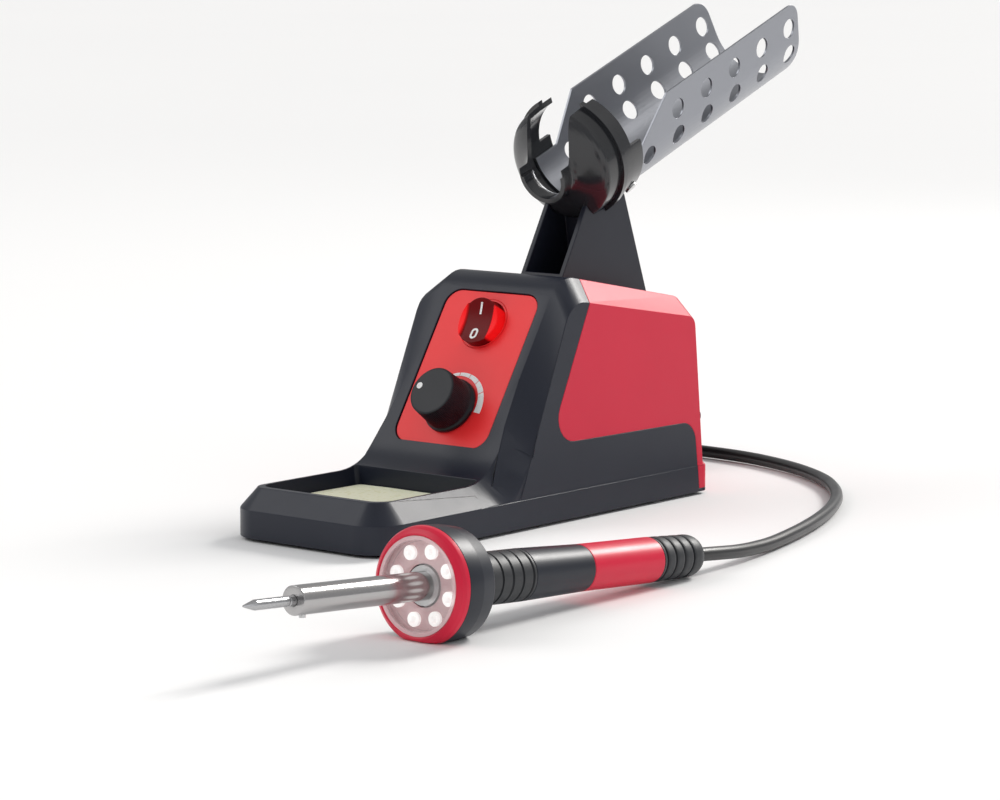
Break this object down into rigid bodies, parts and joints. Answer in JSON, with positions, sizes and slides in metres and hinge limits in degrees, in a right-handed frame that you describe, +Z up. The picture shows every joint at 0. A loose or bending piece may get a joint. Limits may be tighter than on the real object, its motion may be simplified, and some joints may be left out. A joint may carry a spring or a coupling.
{
  "type": "soldering iron station",
  "caption": "Bench soldering station with a sponge tray, lit rocker switch, temperature knob, sloping iron holder and a corded iron with a ring of lamps.",
  "frame": {"origin": "on the bench under the middle of the station's footprint, on the middle pad's face", "axes": "+X to the right seen from the tray's end, -Y towards the tray, +Z up"},
  "size_m": [0.238, 0.487, 0.2012],
  "materials": {
    "black_plastic": "fine-grained moulded black plastic",
    "red_cover": "satin red moulded plastic with a fine grain",
    "red_panel": "satin red panel",
    "white_print": "white print",
    "red_rocker": "glossy translucent red, lit from inside",
    "knob_black": "black plastic with a fine knurl",
    "steel_parts": "plated steel",
    "pot_metal": "matt metal can",
    "board_green": "green circuit board",
    "board_black": "black moulded electronic parts",
    "terminal_green": "green moulded plastic",
    "sponge_cellulose": "pale yellow-green cellulose sponge with fine pores",
    "tower_black": "fine-grained black plastic",
    "cradle_black": "smooth matt black heat-proof plastic",
    "sheet_metal": "bare perforated sheet, finely rolled",
    "rubber_black": "black rubber",
    "cord_black": "black flexible cord",
    "tip_metal": "plated tip",
    "barrel_steel": "turned steel barrel, a little heat tint",
    "ceramic_white": "white ceramic",
    "lens_clear": "clear moulded lens",
    "lamp_white": "white lamps",
    "iron_red": "satin red moulded plastic",
    "grip_rubber": "soft black rubber",
    "handle_black": "satin black plastic"
  },
  "bodies": {
    "station": {"front_housing": "black_plastic", "bottom_plate": "black_plastic", "plate_screws": "steel_parts", "feet": "rubber_black", "rear_cover": "red_cover", "control_panel": "red_panel", "scale_marks": "white_print", "switch_body": "board_black", "switch_pin": "steel_parts", "switch_lamp": "lamp_white", "pot_body": "pot_metal", "pot_nut": "steel_parts", "circuit_board": "board_green", "board_posts": "board_black", "board_screws": "steel_parts", "board_parts": "board_black", "terminal_block": "terminal_green", "holder_tower": "tower_black", "tower_screws": "steel_parts", "cradle": "cradle_black", "trough": "sheet_metal", "trough_rivets": "steel_parts", "cord_relief": "rubber_black", "mains_gland": "rubber_black", "iron_cord": "cord_black", "cord_coil": "cord_black", "cord_tail": "cord_black"},
    "rocker": {"rocker": "red_rocker", "rocker_marks": "white_print"},
    "knob": {"temp_knob": "knob_black", "knob_dot": "white_print", "pot_shaft": "steel_parts"},
    "sponge": {"sponge": "sponge_cellulose"},
    "iron": {"iron_tip": "tip_metal", "tip_screw": "steel_parts", "barrel": "barrel_steel", "heater_core": "ceramic_white", "barrel_collar": "steel_parts", "lens_ring": "lens_clear", "lamps": "lamp_white", "lamp_board": "red_panel", "head_ring": "iron_red", "head_shell": "handle_black", "front_grip": "grip_rubber", "handle_band": "handle_black", "handle_core": "handle_black", "handle_sleeve": "iron_red", "handle_end": "grip_rubber", "cord_clamp": "board_black"}
  },
  "joints": [
    {"name": "rocker_tilt", "type": "hinge", "parent": "station", "child": "rocker", "pos_m": [0, 0.00689, 0.07538], "axis": [1, 0, 0], "range_deg": [-14, 0]},
    {"name": "knob_turn", "type": "hinge", "parent": "station", "child": "knob", "pos_m": [0, -0.01545, 0.04527], "axis": [0, -0.8425, 0.5388], "range_deg": [-197, 73]},
    {"name": "sponge_lift", "type": "slide", "parent": "station", "child": "sponge", "axis": [0, 0, 1], "range_m": [0, 0.04]},
    {"name": "iron_lift", "type": "slide", "parent": "station", "child": "iron", "axis": [0, 0, 1], "range_m": [0, 0.12]}
  ]
}
